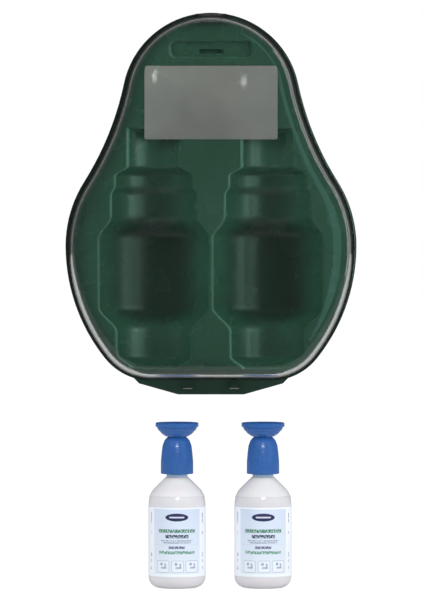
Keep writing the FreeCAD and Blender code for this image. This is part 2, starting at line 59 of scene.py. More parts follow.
class Tree:
    """A node tree with short calls for the nodes used here."""

    def __init__(self, tree):
        self.tree = tree

    def add(self, kind, **settings):
        node = self.tree.nodes.new(kind)
        for key, value in settings.items():
            setattr(node, key, value)
        return node

    def link(self, source, target):
        self.tree.links.new(source, target)

    def put(self, socket, value):
        """Links a socket or sets a constant."""
        if isinstance(value, bpy.types.NodeSocket):
            self.link(value, socket)
        else:
            socket.default_value = value

    def math(self, operation, *values):
        node = self.add("ShaderNodeMath", operation=operation)
        for socket, value in zip(node.inputs, values):
            self.put(socket, value)
        return node.outputs[0]

    def span(self, value, low, high, to_low=0.0, to_high=1.0, smooth=False):
        node = self.add("ShaderNodeMapRange", clamp=True)
        if smooth:
            node.interpolation_type = "SMOOTHSTEP"
        for key, number in (("Value", value), ("From Min", low), ("From Max", high),
                            ("To Min", to_low), ("To Max", to_high)):
            self.put(node.inputs[key], number)
        return node.outputs["Result"]

    def split(self, vector):
        """The X, Y and Z of a vector, by name."""
        node = self.add("ShaderNodeSeparateXYZ")
        self.link(vector, node.inputs[0])
        return node.outputs


class Nodes(Tree):
    """A material's nodes, round its Principled shader."""

    def __init__(self, name):
        self.material = bpy.data.materials.new(name)
        self.material.use_nodes = True
        super().__init__(self.material.node_tree)
        self.shader = self.tree.nodes["Principled BSDF"]
        self.output = self.tree.nodes["Material Output"]
        self.place = self.add("ShaderNodeTexCoord")
        self.coords = self.place.outputs["Object"]

    def noise(self, scale, detail=3.0, roughness=0.5, vector=None):
        node = self.add("ShaderNodeTexNoise")
        self.link(vector or self.coords, node.inputs["Vector"])
        node.inputs["Scale"].default_value = scale
        node.inputs["Detail"].default_value = detail
        node.inputs["Roughness"].default_value = roughness
        return node.outputs["Fac"]

    def mix(self, factor, first, second):
        node = self.add("ShaderNodeMix", data_type="RGBA")
        self.put(node.inputs[0], factor)
        self.put(node.inputs[6], first)
        self.put(node.inputs[7], second)
        return node.outputs[2]

    def mix_shader(self, factor, first, second):
        node = self.add("ShaderNodeMixShader")
        for socket, source in zip(node.inputs, (factor, first, second)):
            self.link(source, socket)
        return node.outputs[0]

    def bump(self, height, distance, strength=1.0, under=None):
        node = self.add("ShaderNodeBump")
        node.inputs["Strength"].default_value = strength
        node.inputs["Distance"].default_value = distance
        self.link(height, node.inputs["Height"])
        if under is not None:
            self.link(under, node.inputs["Normal"])
        return node.outputs["Normal"]

    def set(self, **values):
        for key, value in values.items():
            self.put(self.shader.inputs[key.replace("_", " ")], value)

    def around(self, centre, radius):
        """Millimetres round a vertical axis from its front, and height above a base."""
        moved = self.add("ShaderNodeVectorMath", operation="SUBTRACT")
        self.link(self.coords, moved.inputs[0])
        moved.inputs[1].default_value = centre
        from_axis = self.split(moved.outputs[0])
        angle = self.math("ARCTAN2", from_axis["X"], self.math("MULTIPLY", from_axis["Y"], -1.0))
        return self.math("MULTIPLY", angle, radius * 1000), self.math("MULTIPLY", from_axis["Z"], 1000.0)

    def box_distance(self, u, v, middle, half, corner=0.0):
        """Signed distance in millimetres to an upright rounded rectangle."""
        offsets = [self.math("ABSOLUTE", self.math("SUBTRACT", value, centre))
                   for value, centre in zip((u, v), middle)]
        past = [self.math("SUBTRACT", offset, reach - corner) for offset, reach in zip(offsets, half)]
        farthest = self.math("MAXIMUM", *past)
        if corner == 0:
            return farthest
        squares = [self.math("POWER", self.math("MAXIMUM", value, 0.0), 2.0) for value in past]
        outer = self.math("SQRT", self.math("ADD", *squares))
        return self.math("SUBTRACT", self.math("ADD", outer, self.math("MINIMUM", farthest, 0.0)), corner)

    def inside(self, distance, soft=0.12):
        return self.span(distance, soft, -soft)


def moulded(name, colour, dark, rough=0.2, grain=0.00004):
    """Gloss plastic: slow colour drift, fine moulding grain and uneven gloss."""
    nodes = Nodes(name)
    drift = nodes.noise(9, 4)
    nodes.set(Base_Color=nodes.mix(nodes.span(drift, 0.3, 0.7), dark, colour),
              Roughness=nodes.span(nodes.noise(38, 5), 0.3, 0.75, rough * 0.75, rough * 1.25),
              Normal=nodes.bump(nodes.noise(900, 2), grain, 0.6))
    return nodes


# the third colour is a painted shade, for the darkened rims of the shell and the tray
CASE_GREEN, CASE_GREEN_DARK, CASE_RIM_SHADE = rgb(30, 52, 42), rgb(24, 43, 34), rgb(15, 26, 20)
CAP_BLUE, CAP_BLUE_DARK = rgb(48, 98, 168), rgb(41, 89, 156)


def make_case_green():
    """The shell's green, with painted shade on the rim that the cover sits on but not on the lip below it."""
    nodes = moulded("case_green_plastic", CASE_GREEN, CASE_GREEN_DARK, rough=0.24)
    place = nodes.split(nodes.coords)
    # painted shade: the front rim above the lip is darkened
    rim_shade = nodes.math("MULTIPLY", nodes.span(place["Y"], -40 * MM, -44 * MM),
                     nodes.span(place["Z"], -122 * MM, -112 * MM))
    body = nodes.shader.inputs["Base Color"].links[0].from_socket
    nodes.set(Base_Color=nodes.mix(rim_shade, body, CASE_RIM_SHADE))
    return nodes.material


case_green = make_case_green()
cap_blue = moulded("cap_blue_plastic", CAP_BLUE, CAP_BLUE_DARK, rough=0.27, grain=0.00002).material
plug_white = moulded("plug_white_plastic", rgb(238, 238, 234), rgb(228, 229, 226), rough=0.4).material
ring_blue = moulded("ring_pale_blue_plastic", rgb(172, 205, 236), rgb(160, 196, 230), rough=0.3).material


def make_tray_green(front, deep):
    """Formed green sheet, with painted shade deep in the recesses and towards the outline, and a painted
    highlight on the recess mouths.
    """
    nodes = Nodes("tray_green_plastic")
    place = nodes.split(nodes.coords)
    drift = nodes.span(nodes.noise(9, 3), 0.3, 0.7)
    plain = nodes.mix(drift, rgb(38, 73, 58), rgb(44, 84, 67))
    # painted shade: a darker green for the deep parts of the recesses
    recess_shade = nodes.mix(drift, rgb(19, 36, 28), rgb(24, 46, 36))
    depth = place["Y"]
    colour = nodes.mix(nodes.span(depth, front + 14 * MM, deep, smooth=True), plain, recess_shade)
    # painted shade: the plate darkens towards the outline, more at the left than at the right
    margin = nodes.add("ShaderNodeAttribute", attribute_name="margin").outputs["Fac"]
    edge_shade = nodes.math("MULTIPLY", nodes.span(margin, 28 * MM, 4 * MM, smooth=True),
                      nodes.span(place["X"], -30 * MM, 60 * MM, 0.6, 0.1))
    colour = nodes.mix(edge_shade, colour, rgb(18, 34, 27))
    # painted shade: the outermost few millimetres go as dark as the shell's rim
    colour = nodes.mix(nodes.span(margin, 5.5 * MM, 3 * MM), colour, CASE_RIM_SHADE)
    # painted highlight: the mouths' edges are lighter where they face the right
    mouth_highlight = nodes.math("MULTIPLY", nodes.span(depth, front + 0.2 * MM, front + 0.8 * MM),
                       nodes.span(depth, front + 3.4 * MM, front + 2 * MM))
    facing = nodes.split(nodes.place.outputs["Normal"])["X"]
    mouth_highlight = nodes.math("MULTIPLY", mouth_highlight, nodes.span(facing, -0.1, 0.5, 0.12, 0.75))
    nodes.set(Base_Color=nodes.mix(mouth_highlight, colour, rgb(96, 148, 126)),
              Roughness=nodes.span(nodes.noise(38, 3), 0.3, 0.75, 0.24, 0.3),
              Normal=nodes.bump(nodes.noise(12, 0), 0.0006, 0.2))
    nodes.set(Specular_IOR_Level=0.45)
    return nodes.material


def make_steel():
    nodes = Nodes("pin_steel")
    nodes.set(Base_Color=nodes.mix(nodes.noise(60), rgb(88, 90, 92), rgb(104, 106, 108)),
              Metallic=1.0, Roughness=nodes.span(nodes.noise(200, 4), 0.3, 0.7, 0.22, 0.38))
    return nodes.material


def lets_light_in(nodes, tint):
    """Lamps reach what is behind a clear surface."""
    path = nodes.add("ShaderNodeLightPath")
    clear = nodes.add("ShaderNodeBsdfTransparent")
    clear.inputs["Color"].default_value = tint
    nodes.link(nodes.mix_shader(path.outputs["Is Shadow Ray"], nodes.shader.outputs[0], clear.outputs[0]),
               nodes.output.inputs["Surface"])


def make_clear():
    """Polished clear plastic, very slightly green and wavy."""
    nodes = Nodes("cover_clear_plastic")
    nodes.set(Base_Color=nodes.mix(nodes.noise(5), (0.975, 0.99, 0.983, 1), (0.988, 0.996, 0.992, 1)),
              Roughness=0.03, IOR=1.49, Transmission_Weight=1.0,
              Normal=nodes.bump(nodes.noise(16, 2), 0.0003, 0.05))
    lets_light_in(nodes, (0.93, 0.965, 0.95, 1))
    return nodes.material


def make_card():
    """Grey frosted card with a faint uneven tone."""
    nodes = Nodes("card_grey_frosted")
    tone = nodes.span(nodes.noise(11, 3, 0.55), 0.3, 0.7)
    tint = nodes.mix(nodes.span(nodes.noise(6, 1), 0.4, 0.65), rgb(113, 113, 110), rgb(117, 121, 126))
    nodes.set(Base_Color=nodes.mix(tone, tint, rgb(139, 139, 134)),
              Roughness=nodes.span(nodes.noise(50, 3), 0.3, 0.7, 0.3, 0.42),
              Normal=nodes.bump(nodes.noise(500, 3), 0.00003, 0.6))
    return nodes.material


def make_bottle_plastic(side, base, liquid_level):
    """Milky bottle plastic; below the liquid's level it is a shade denser."""
    nodes = Nodes(f"bottle_milky_plastic_{side}")
    height = nodes.around(base, 0.0285)[1]
    ripple = nodes.span(nodes.noise(45, 3), 0.3, 0.7, -0.35, 0.35)
    level = nodes.math("ADD", height, ripple)
    wet = nodes.span(level, liquid_level + 0.5, liquid_level - 0.5)
    meniscus = nodes.span(nodes.math("ABSOLUTE", nodes.math("SUBTRACT", level, liquid_level)), 0.9, 0.1)
    cloud = nodes.span(nodes.noise(30, 4), 0.3, 0.7)
    air = nodes.mix(cloud, rgb(229, 227, 230), rgb(222, 220, 224))
    full = nodes.mix(cloud, rgb(219, 217, 221), rgb(213, 211, 216))
    colour = nodes.mix(nodes.math("MULTIPLY", meniscus, 0.5), nodes.mix(wet, air, full), rgb(190, 192, 200))
    nodes.set(Base_Color=colour, Subsurface_Weight=0.12, Subsurface_Scale=0.006,
              Roughness=nodes.span(nodes.noise(70, 4), 0.3, 0.7, 0.12, 0.19),
              Normal=nodes.bump(nodes.noise(55, 3), 0.0005, 0.25))
    return nodes.material


def make_label(side, base):
    """Printed sleeve: pale blue panel, blank oval, bars for words and three boxes for pictograms."""
    nodes = Nodes(f"label_print_{side}")
    u, v = nodes.around((base[0], base[1], base[2] + 0.001), 0.02875)
    paper = nodes.mix(nodes.span(nodes.noise(40, 4), 0.3, 0.7), rgb(240, 245, 252), rgb(234, 240, 250))
    panel = nodes.mix(nodes.span(v, 14, 79), rgb(222, 231, 242), rgb(205, 218, 238))
    colour = nodes.mix(nodes.inside(nodes.box_distance(u, v, (0, 46.7), (26.0, 32.3))), paper, panel)

    # bars broken up into short strokes stand in for lines of words
    stroke = nodes.add("ShaderNodeCombineXYZ")
    nodes.link(nodes.math("MULTIPLY", u, 0.8), stroke.inputs[0])
    nodes.link(nodes.math("MULTIPLY", v, 0.5), stroke.inputs[1])
    strokes = nodes.span(nodes.noise(1.0, 1.0, 0.5, stroke.outputs[0]), 0.40, 0.50, 0.12, 1.0)
    bars = ((57.3, 19.3, 1.7, rgb(46, 122, 86)), (51.8, 11.9, 1.7, rgb(28, 34, 74)),
            (47.6, 16.4, 0.45, rgb(96, 104, 142)), (45.6, 14.5, 0.45, rgb(96, 104, 142)),
            (40.8, 8.3, 1.3, rgb(82, 84, 128)), (35.9, 18.8, 1.5, rgb(92, 150, 124)))
    for level, half, tall, ink in bars:
        mask = nodes.inside(nodes.box_distance(u, v, (0, level), (half, tall)), 0.3)
        colour = nodes.mix(nodes.math("MULTIPLY", mask, strokes), colour, ink)
    rule = nodes.inside(nodes.box_distance(u, v, (0, 43.6), (25.5, 0.12)))
    colour = nodes.mix(nodes.math("MULTIPLY", rule, 0.6), colour, rgb(168, 182, 206))

    shares = (nodes.math("DIVIDE", u, 11.7), nodes.math("DIVIDE", nodes.math("SUBTRACT", v, 70.9), 3.9))
    oval = nodes.math("SQRT", nodes.math("ADD", *(nodes.math("POWER", share, 2.0) for share in shares)))
    colour = nodes.mix(nodes.span(oval, 1.03, 0.97), colour, rgb(33, 38, 88))
    streak = nodes.inside(nodes.box_distance(u, v, (0, 70.9), (7.6, 0.75), 0.7), 0.25)
    colour = nodes.mix(nodes.math("MULTIPLY", streak, 0.85), colour, rgb(226, 230, 242))

    for middle, half in ((-14.5, 6.6), (0.8, 6.0), (15.9, 6.7)):
        distance = nodes.box_distance(u, v, (middle, 21.8), (half, 5.8), 1.2)
        colour = nodes.mix(nodes.inside(distance), colour, rgb(228, 236, 247))
        edge = nodes.inside(nodes.math("SUBTRACT", nodes.math("ABSOLUTE", distance), 0.16), 0.1)
        colour = nodes.mix(nodes.math("MULTIPLY", edge, 0.85), colour, rgb(96, 112, 150))
        dot = nodes.box_distance(u, v, (middle - 1.6, 24.3), (1.5, 1.5), 1.5)
        stroke_a = nodes.box_distance(u, v, (middle + 0.9, 20.6), (3.0, 0.8), 0.7)
        stroke_b = nodes.box_distance(u, v, (middle + 2.6, 22.6), (0.8, 2.4), 0.7)
        shape = nodes.math("MINIMUM", dot, nodes.math("MINIMUM", stroke_a, stroke_b))
        colour = nodes.mix(nodes.math("MULTIPLY", nodes.inside(shape, 0.2), 0.65), colour, rgb(98, 110, 146))
    # small marks down both side margins
    for middle in (-31.0, 31.0):
        for level, tall in ((70, 5.5), (55, 1.2), (33, 2.0), (27, 1.4), (20, 1.6)):
            mark = nodes.inside(nodes.box_distance(u, v, (middle, level), (1.0, tall)), 0.3)
            colour = nodes.mix(nodes.math("MULTIPLY", mark, nodes.math("MULTIPLY", strokes, 0.75)),
                               colour, rgb(90, 98, 130))
    nodes.set(Base_Color=colour, Roughness=nodes.span(nodes.noise(60, 3), 0.3, 0.7, 0.32, 0.44),
              Normal=nodes.bump(nodes.noise(90, 3), 0.0001, 0.25))
    return nodes.material


def make_bell_blue(side, base):
    """Cap plastic with faint ribs round its foot and a raised blank arrow at the front."""
    nodes = moulded(f"cap_blue_bell_{side}", CAP_BLUE, CAP_BLUE_DARK, rough=0.27, grain=0.00002)
    u, v = nodes.around(base, 0.016)
    ribs = nodes.math("SINE", nodes.math("MULTIPLY", u, 3.1))
    ribs = nodes.math("MULTIPLY", ribs, nodes.span(v, 124.5, 121.5))
    stem = nodes.box_distance(u, v, (0, 130.5), (1.0, 4.0), 0.3)
    below_tip = nodes.math("MULTIPLY", nodes.math("SUBTRACT", v, 139.5), 0.9)
    slant = nodes.math("ADD", nodes.math("ABSOLUTE", u), below_tip)
    head = nodes.math("MAXIMUM", slant, nodes.math("SUBTRACT", 134.5, v))
    arrow = nodes.span(nodes.math("MINIMUM", stem, head), 0.35, -0.35)
    raised = nodes.bump(arrow, 0.00045, 0.9, nodes.shader.inputs["Normal"].links[0].from_socket)
    nodes.set(Normal=nodes.bump(ribs, 0.0002, 0.5, raised))
    return nodes.material


def make_liquid():
    nodes = Nodes("solution_clear")
    nodes.set(Base_Color=nodes.mix(nodes.noise(20), (0.93, 0.95, 0.96, 1), (0.95, 0.97, 0.98, 1)),
              Roughness=0.02, IOR=1.33, Transmission_Weight=1.0)
    lets_light_in(nodes, (0.95, 0.97, 0.98, 1))
    return nodes.material


pin_steel = make_steel()
tray_green = make_tray_green(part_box("back_shell")[0][1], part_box("back_shell")[0][1] + 0.036)
cover_clear = make_clear()
card_grey = make_card()
solution = make_liquid()


# ---------------------------------------------------------------- mesh helpers

def add_object(name, mesh, material, body, node):
    """Puts a mesh in the scene as a smooth piece of the object, in place of a CAD node."""
    thing = bpy.data.objects.new(name, mesh)
    scene.collection.objects.link(thing)
    for face in mesh.polygons:
        face.use_smooth = True
    mesh.materials.append(material)
    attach(thing, body)
    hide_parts(node)
    return thing


def paint(node, material):
    """Gives a CAD node that stays in the scene its material."""
    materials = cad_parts[node].data.materials
    materials.clear()
    materials.append(material)


def mesh_from_rings(name, rings, close_start=False, close_end=False, loop=False):
    """A mesh lofted through rings of equal length; each ring is closed on itself.

    loop joins the last ring to the first; the close flags cap the ends with one centre point.
    """
    points = [point for ring in rings for point in ring]
    count, faces = len(rings[0]), []
    pairs = [(i, i + 1) for i in range(len(rings) - 1)]
    if loop:
        pairs.append((len(rings) - 1, 0))
    for first, second in pairs:
        for k in range(count):
            following = (k + 1) % count
            faces.append((first * count + k, first * count + following,
                          second * count + following, second * count + k))
    for wanted, index, flip in ((close_start, 0, True), (close_end, len(rings) - 1, False)):
        if wanted:
            ring = rings[index]
            centre = len(points)
            points.append(tuple(sum(p[axis] for p in ring) / count for axis in range(3)))
            for k in range(count):
                a, b = index * count + k, index * count + (k + 1) % count
                faces.append((b, a, centre) if flip else (a, b, centre))
    mesh = bpy.data.meshes.new(name)
    mesh.from_pydata(points, [], faces)
    shell = bmesh.new()
    shell.from_mesh(mesh)
    bmesh.ops.recalc_face_normals(shell, faces=shell.faces)
    shell.to_mesh(mesh)
    shell.free()
    return mesh


def rounded(corners, closed=True, steps=5):
    """Polygon corners (x, y, radius) with each corner replaced by an arc-like curve."""
    result, count = [], len(corners)
    for i, (x, y, radius) in enumerate(corners):
        here = Vector((x, y))
        if radius <= 0 or (not closed and i in (0, count - 1)):
            result.append((x, y))
            continue
        before = Vector(corners[i - 1][:2])
        after = Vector(corners[(i + 1) % count][:2])
        to_before, to_after = before - here, after - here
        angle = to_before.angle(to_after)
        reach = min(radius / math.tan(angle / 2), to_before.length * 0.49, to_after.length * 0.49)
        start = here + to_before.normalized() * reach
        end = here + to_after.normalized() * reach
        actual = reach * math.tan(angle / 2)
        centre = here + (to_before.normalized() + to_after.normalized()).normalized() \
            * (actual / math.sin(angle / 2))
        a0 = start - centre
        sweep = a0.angle_signed(end - centre)
        turns = max(2, int(steps * abs(sweep) / (math.pi / 2)) + 1)
        for k in range(turns + 1):
            t = -sweep * k / turns
            result.append((centre.x + a0.x * math.cos(t) - a0.y * math.sin(t),
                           centre.y + a0.x * math.sin(t) + a0.y * math.cos(t)))
    return result


def lathe(name, section, centre, material, body, node, sharp=50, around=96, closed=True, steps=6):
    """A piece turned about a vertical axis.

    The section has (radius, height, rounding) corners in millimetres. An open section starts and ends
    on the axis. Edges sharper than sharp, in degrees, stay sharp.
    """
    cx, cy, base = centre
    rings = []
    for radius, height in rounded(section, closed, steps):
        radius = max(radius * MM, 0.01 * MM)
        rings.append([(cx + radius * math.cos(2 * math.pi * k / around),
                       cy + radius * math.sin(2 * math.pi * k / around), base + height * MM)
                      for k in range(around)])
    mesh = mesh_from_rings(name, rings, not closed, not closed, closed)
    add_object(name, mesh, material, body, node)
    mesh.set_sharp_from_angle(angle=math.radians(sharp))


# ---------------------------------------------------------------- the case's outline

shell_low, shell_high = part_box("back_shell")
cover_low, cover_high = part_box("clear_cover")
pin_low, pin_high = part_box("hinge_pin")

HALF = shell_high[0]
TOP_R = 89 * MM
TOP_C = shell_high[2] - TOP_R
WAIST_R, SIDE_R, HIP_R, CORNER_R = 300 * MM, 120 * MM, 180 * MM, 60 * MM
BOTTOM = 135 * MM
TRAY_FRONT = shell_low[1]
COVER_INSET = HALF - cover_high[0]


class Pear:
    """The case's outline, inset by an amount; every stretch is an arc tangent to the next."""

    def __init__(self, inset):
        self.half, self.top, self.waist = HALF - inset, TOP_R - inset, WAIST_R + inset
        self.side, self.hip = SIDE_R - inset, HIP_R - inset
        self.corner, self.bottom = CORNER_R - inset, BOTTOM - inset
        self.side_x, self.hip_x = self.half - self.side, self.half - self.hip
        reach_top, reach_side = self.top + self.waist, self.side + self.waist
        span = math.hypot(self.side_x, TOP_C)
        along = (reach_top ** 2 - reach_side ** 2 + span ** 2) / (2 * span)
        off = math.sqrt(reach_top ** 2 - along ** 2)
        self.waist_x = (self.side_x * along + TOP_C * off) / span
        self.waist_z = TOP_C + (-TOP_C * along + self.side_x * off) / span
        self.corner_z = self.corner - self.bottom
        self.corner_x = self.hip_x + math.sqrt((self.hip - self.corner) ** 2 - self.corner_z ** 2)
        self.top_join = TOP_C + (self.waist_z - TOP_C) * self.top / reach_top
        self.side_join = self.waist_z * self.side / reach_side
        self.hip_join = self.corner_z * self.hip / (self.hip - self.corner)

    def loop(self):
        """(x, z) points, anticlockwise from the widest point on the right."""
        a_top = math.atan2(self.waist_z - TOP_C, self.waist_x)
        a_side = math.atan2(self.waist_z, self.waist_x - self.side_x)
        a_hip = math.atan2(self.corner_z, self.corner_x - self.hip_x)

        def arc(x, z, radius, start, end, count):
            return [(x + radius * math.cos(start + (end - start) * k / count),
                     z + radius * math.sin(start + (end - start) * k / count)) for k in range(count)]

        upper = arc(self.side_x, 0, self.side, 0, a_side, 22)
        upper += arc(self.waist_x, self.waist_z, self.waist, a_side + math.pi, a_top + math.pi, 28)
        upper += arc(0, TOP_C, self.top, a_top, math.pi / 2, 40)
        lower = arc(self.hip_x, 0, self.hip, 0, a_hip, 30)[1:]
        lower += arc(self.corner_x, self.corner_z, self.corner, a_hip, -math.pi / 2, 20)
        flats = 16
        lower += [(self.corner_x * (1 - k / flats), -self.bottom) for k in range(flats)]
        return (upper + [(0, TOP_C + self.top)] + [(-x, z) for x, z in reversed(upper)]
                + [(-x, z) for x, z in lower] + [(0, -self.bottom)] + list(reversed(lower)))

    def half_width(self, level):
        if level >= self.top_join:
            return math.sqrt(max(0.0, self.top ** 2 - (level - TOP_C) ** 2))
        if level >= self.side_join:
            return self.waist_x - math.sqrt(self.waist ** 2 - (level - self.waist_z) ** 2)
        if level >= 0:
            return self.side_x + math.sqrt(self.side ** 2 - level ** 2)
        if level >= self.hip_join:
            return self.hip_x + math.sqrt(self.hip ** 2 - level ** 2)
        return self.corner_x + math.sqrt(max(0.0, self.corner ** 2 - (level - self.corner_z) ** 2))


# ---------------------------------------------------------------- the tray

RECESS_X, AXIS_OUT = 57 * MM, 20.6 * MM
# heights and half-widths of the recess mouth, from its tip down to its foot
RECESS = [(118, 27), (80, 27), (70, 39.5), (60, 39.5), (51, 43.5), (30, 43.5), (8, 55.5),
          (-61, 55.5), (-86, 38), (-110, 38), (-124, 25)]
RECESS = [(level * MM, half * MM) for level, half in RECESS]
EDGE_SOFT = 0.8 * MM


def ease(t):
    t = min(1.0, max(0.0, t))
    return t * t * (3 - 2 * t)


def recess_half(level):
    """Half-width of a recess's mouth at a height."""
    for (high, wide), (low, narrow) in zip(RECESS, RECESS[1:]):
        if low <= level <= high:
            return wide + (narrow - wide) * ease((high - level) / (high - low))
    return RECESS[0][1] if level > 0 else RECESS[-1][1]


def soft_floor(value, soft):
    """max(value, 0) with a rounded knee."""
    return 0.5 * (value + math.sqrt(value * value + soft * soft))


def rounded_box_distance(x, z, half_x, half_z, corner):
    """Signed distance to a rounded rectangle about the origin, negative inside."""
    dx, dz = abs(x) - half_x + corner, abs(z) - half_z + corner
    return math.hypot(max(dx, 0), max(dz, 0)) + min(max(dx, dz), 0) - corner


def tray_depth(x, z):
    """How far the tray's surface lies behind its front plate."""
    reach = math.hypot(recess_half(z), AXIS_OUT)
    off = abs(x) - RECESS_X
    depth = math.sqrt(max(reach * reach - off * off, 0)) - AXIS_OUT
    depth = min(depth, (RECESS[0][0] - z) * 3.0, (z - RECESS[-1][0]) * 3.0)
    total = soft_floor(depth, EDGE_SOFT)
    ledge = rounded_box_distance(x, z - 196.5 * MM, 41 * MM, 8 * MM, 6 * MM)
    total += 4.5 * MM * ease(0.5 - ledge / (2.2 * MM))
    slot = rounded_box_distance(x, z - 194.5 * MM, 12 * MM, 1.7 * MM, 1.4 * MM)
    total += 6 * MM * ease(0.5 - slot / (1.4 * MM))
    return total


def make_tray():
    """The tray as one smooth sheet of even thickness; rows follow the pear's outline."""
    edge = Pear(1 * MM)
    rows, columns = 430, 350
    low, high = -edge.bottom, TOP_C + edge.top
    points, margins = [], []
    for i in range(rows + 1):
        t = i / rows
        level = low + (high - low) * (0.35 * t + 0.65 * math.sin(t * math.pi / 2))
        level = min(level, high - 0.02 * MM)
        wide = edge.half_width(level)
        for k in range(columns + 1):
            x = wide * (2 * k / columns - 1)
            points.append((x, TRAY_FRONT + tray_depth(x, level), level))
            margins.append(min(wide - abs(x), level - low, high - level))
    faces = []
    for i in range(rows):
        for k in range(columns):
            a = i * (columns + 1) + k
            faces.append((a, a + 1, a + columns + 2, a + columns + 1))
    mesh = bpy.data.meshes.new("tray_sheet")
    mesh.from_pydata(points, [], faces)
    margin = mesh.attributes.new("margin", "FLOAT", "POINT")
    margin.data.foreach_set("value", margins)
    tray = add_object("tray_sheet", mesh, tray_green, "case", "inner_tray")
    wall = tray.modifiers.new("wall", "SOLIDIFY")
    wall.thickness = 1.6 * MM
    wall.offset = -1


# ---------------------------------------------------------------- the cover

def make_cover():
    """Deep clear dome: drafted side, rounded shoulder and a slightly crowned face, of even wall."""
    wall, draft, round_r, crown = 2.5 * MM, 2.0 * MM, 13 * MM, 1.6 * MM
    edge, face = cover_high[1], cover_low[1]

    def skin(inset, depth_in, radius):
        """Rings of one skin, from the edge to the face's centre."""
        turn_y = face + depth_in + crown + radius
        rings = [(inset + draft * t, edge + (turn_y - edge) * t) for t in (k / 8 for k in range(9))]
        rings += [(inset + draft + radius * (1 - math.cos(a)), turn_y - radius * math.sin(a))
                  for a in (math.pi / 2 * k / 12 for k in range(1, 13))]
        loops = [[(x, y, z) for x, z in Pear(i).loop()] for i, y in rings]
        last_inset, last_y = rings[-1]
        flat = Pear(last_inset).loop()
        centre_z = 10 * MM
        for k in range(1, 16):
            s = 1 - k / 15.2
            loops.append([(x * s, last_y - crown * (1 - s * s), centre_z + (z - centre_z) * s)
                          for x, z in flat])
        return loops

    outer = skin(COVER_INSET, 0, round_r)
    inner = skin(COVER_INSET + wall, wall, round_r - wall)
    mesh = mesh_from_rings("cover_dome", outer[::-1] + inner, True, True)
    return add_object("cover_dome", mesh, cover_clear, "cover", "clear_cover")


def bar_along_x(name, profile, start, end):
    """A closed prism along x from a (y, z) profile."""
    rings = [[(x, y, z) for y, z in profile] for x in (start, end)]
    return mesh_from_rings(name, rings, True, True)


def disc(y, z, radius, steps=28):
    return [(y + radius * math.cos(a), z + radius * math.sin(a))
            for a in (2 * math.pi * k / steps for k in range(steps))]


def carve(thing, tool_mesh, operation):
    """Joins a closed mesh to a piece, or cuts it away."""
    tool = bpy.data.objects.new("tool", tool_mesh)
    scene.collection.objects.link(tool)
    step = thing.modifiers.new("step", "BOOLEAN")
    step.operation, step.object, step.solver = operation, tool, "EXACT"
    result = bpy.data.meshes.new_from_object(thing.evaluated_get(bpy.context.evaluated_depsgraph_get()))
    thing.modifiers.clear()
    thing.data = result
    bpy.data.objects.remove(tool)


def soften(thing, width, segments=3):
    bevel = thing.modifiers.new("edges", "BEVEL")
    bevel.width, bevel.segments, bevel.limit_method = width, segments, "ANGLE"
    bevel.harden_normals = False


PIN_Y, PIN_Z = (pin_low[1] + pin_high[1]) / 2, (pin_low[2] + pin_high[2]) / 2
KNUCKLE_HALF, KNUCKLE_R, EAR_THICK = 11 * MM, 3.2 * MM, 4 * MM
EAR_START = KNUCKLE_HALF + 0.6 * MM


def finish_cover(cover):
    """Hinge knuckle at the top with room for the ears, and two snap tabs under the edge."""
    carve(cover, bar_along_x("knuckle", disc(PIN_Y, PIN_Z, KNUCKLE_R), -KNUCKLE_HALF, KNUCKLE_HALF), "UNION")
    for sign in (-1, 1):
        room = bar_along_x("ear_room", disc(PIN_Y, PIN_Z, 7.2 * MM), KNUCKLE_HALF * sign,
                           (KNUCKLE_HALF + 5.2 * MM) * sign)
        carve(cover, room, "DIFFERENCE")
    bore = bar_along_x("bore", disc(PIN_Y, PIN_Z, 2.05 * MM), -KNUCKLE_HALF - MM, KNUCKLE_HALF + MM)
    carve(cover, bore, "DIFFERENCE")
    tab_y, low = TRAY_FRONT - 4.5 * MM, cover_low[2]
    tab = [(tab_y, low + 0.8 * MM), (tab_y - 0.8 * MM, low), (tab_y - 1.8 * MM, low),
           (tab_y - 1.8 * MM, low + 12.6 * MM), (tab_y, low + 12.6 * MM)]
    for sign in (-1, 1):
        left, right = (23.3 * sign - 4.5) * MM, (23.3 * sign + 4.5) * MM
        carve(cover, bar_along_x("tab", tab, left, right), "UNION")
    cover.data.materials.clear()
    cover.data.materials.append(cover_clear)
    for face in cover.data.polygons:
        face.use_smooth = True
        face.material_index = 0
    cover.data.set_sharp_from_angle(angle=math.radians(32))


def make_ears():
    """Two ears on the tray hold the pin: a block with a round end, one at each side of the knuckle."""
    root = TRAY_FRONT + MM
    profile = [(root, PIN_Z - KNUCKLE_R)] \
        + [(PIN_Y + KNUCKLE_R * math.cos(a), PIN_Z + KNUCKLE_R * math.sin(a))
           for a in [-math.pi / 2 - math.pi * k / 14 for k in range(15)]] + [(root, PIN_Z + KNUCKLE_R)]
    for side, sign in zip(SIDES, (-1, 1)):
        mesh = bar_along_x(f"ear_{side}", profile, EAR_START * sign, (EAR_START + EAR_THICK) * sign)
        ear = add_object(f"ear_{side}", mesh, tray_green, "case", "inner_tray")
        mesh.set_sharp_from_angle(angle=math.radians(32))
        soften(ear, 0.3 * MM, 2)


